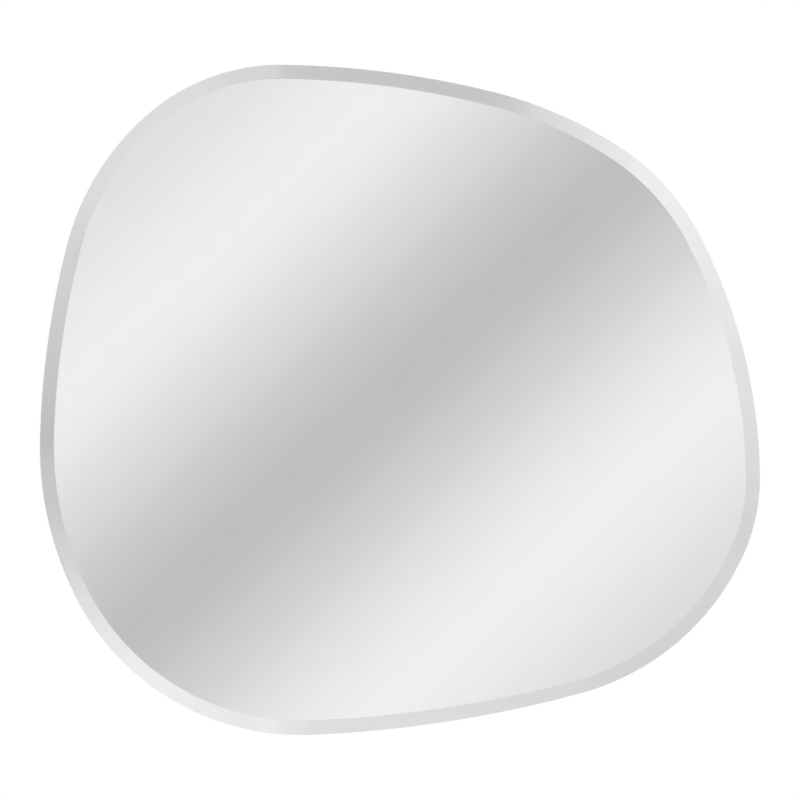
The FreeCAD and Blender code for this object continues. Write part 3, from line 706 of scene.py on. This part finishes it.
faced = mix_colours(tree, past_flat, flat.outputs["Color"], ring.outputs["Color"])
faced = mix_colours(tree, past_ring, faced, room)
faced = mix_colours(tree, past_room, faced, WHITE)
ray = tree.nodes.new("ShaderNodeLightPath").outputs
light = mix_colours(tree, ray["Is Diffuse Ray"], faced, (AMBIENT, AMBIENT, AMBIENT, 1.0))
light = mix_colours(tree, ray["Is Camera Ray"], light, WHITE)
tree.links.new(light, tree.nodes["Background"].inputs["Color"])

# --- Lamps --------------------------------------------------------------------------------------------
# Two broad softboxes behind the mirror, one high and one low, and one in front that only lights the floor
# and stays out of the glass.

# Name, place and side in metres, power in watts, and whether the glass and the metal show it.
SOFTBOXES = (
    ("back_key", (1.6, 2.2, 1.6), 1.4, 30.0, True),
    ("back_fill", (-2.2, 1.6, 0.2), 1.4, 14.0, True),
    ("front_soft", (-1.4, -2.4, 2.2), 1.8, 22.0, False),
)

for name, place, side, power, in_glass in SOFTBOXES:
    lamp_data = bpy.data.lights.new(name, "AREA")
    lamp_data.size = side
    lamp_data.energy = power
    lamp = bpy.data.objects.new(name, lamp_data)
    bpy.context.scene.collection.objects.link(lamp)
    lamp.location = place
    lamp.rotation_euler = (pane_middle - Vector(place)).to_track_quat("-Z", "Y").to_euler()
    lamp.visible_glossy = in_glass
    lamp.visible_transmission = in_glass
    lamp.visible_camera = False

# --- Floor --------------------------------------------------------------------------------------------
# A plain pale floor below the mirror, lost in the white of the studio a few metres away. It is one-sided,
# so that a view from below looks past it.

FLOOR_DROP = 0.30
FLOOR_RADIUS = 5.0
FLOOR_SIDES = 96
FLOOR_PALE = (0.90, 0.90, 0.90)
FLOOR_FADE = (0.04, 0.75)

floor_mesh = bmesh.new()
bmesh.ops.create_circle(floor_mesh, cap_ends=True, segments=FLOOR_SIDES, radius=FLOOR_RADIUS)
bmesh.ops.translate(floor_mesh, verts=floor_mesh.verts,
                    vec=(pane_middle.x, 0.0, pane_low.z - FLOOR_DROP))
floor_data = bpy.data.meshes.new("floor")
floor_mesh.to_mesh(floor_data)
floor_mesh.free()
floor = bpy.data.objects.new("floor", floor_data)
bpy.context.scene.collection.objects.link(floor)
pale, tree, shader = new_finish("pale_floor", Roughness=0.85, Specular_IOR_Level=0.1,
                                Base_Color=(*FLOOR_PALE, 1.0))
place = tree.nodes.new("ShaderNodeTexCoord")
mapping = new_node(tree, "ShaderNodeMapping", Location=(-pane_middle.x / FLOOR_RADIUS, 0.0, 0.0),
                   Scale=(1.0 / FLOOR_RADIUS, 1.0 / FLOOR_RADIUS, 0.0))
ball = tree.nodes.new("ShaderNodeTexGradient")
ball.gradient_type = "SPHERICAL"
tree.links.new(place.outputs["Object"], mapping.inputs["Vector"])
tree.links.new(mapping.outputs["Vector"], ball.inputs["Vector"])
near = soft_step(tree, ball.outputs["Fac"], *FLOOR_FADE)
side_seen = tree.nodes.new("ShaderNodeNewGeometry")
from_above = math_node(tree, "SUBTRACT", 1.0, side_seen.outputs["Backfacing"])
clear = tree.nodes.new("ShaderNodeBsdfTransparent")
fade = tree.nodes.new("ShaderNodeMixShader")
tree.links.new(math_node(tree, "MULTIPLY", near, from_above), fade.inputs["Fac"])
tree.links.new(clear.outputs["BSDF"], fade.inputs[1])
tree.links.new(shader.outputs["BSDF"], fade.inputs[2])
tree.links.new(fade.outputs["Shader"], tree.nodes["Material Output"].inputs["Surface"])
floor_data.materials.append(pale)
floor.visible_glossy = False
floor.visible_transmission = False

# --- Picture ------------------------------------------------------------------------------------------
# Plain colours, with no film look over them.

bpy.context.scene.view_settings.view_transform = "Standard"
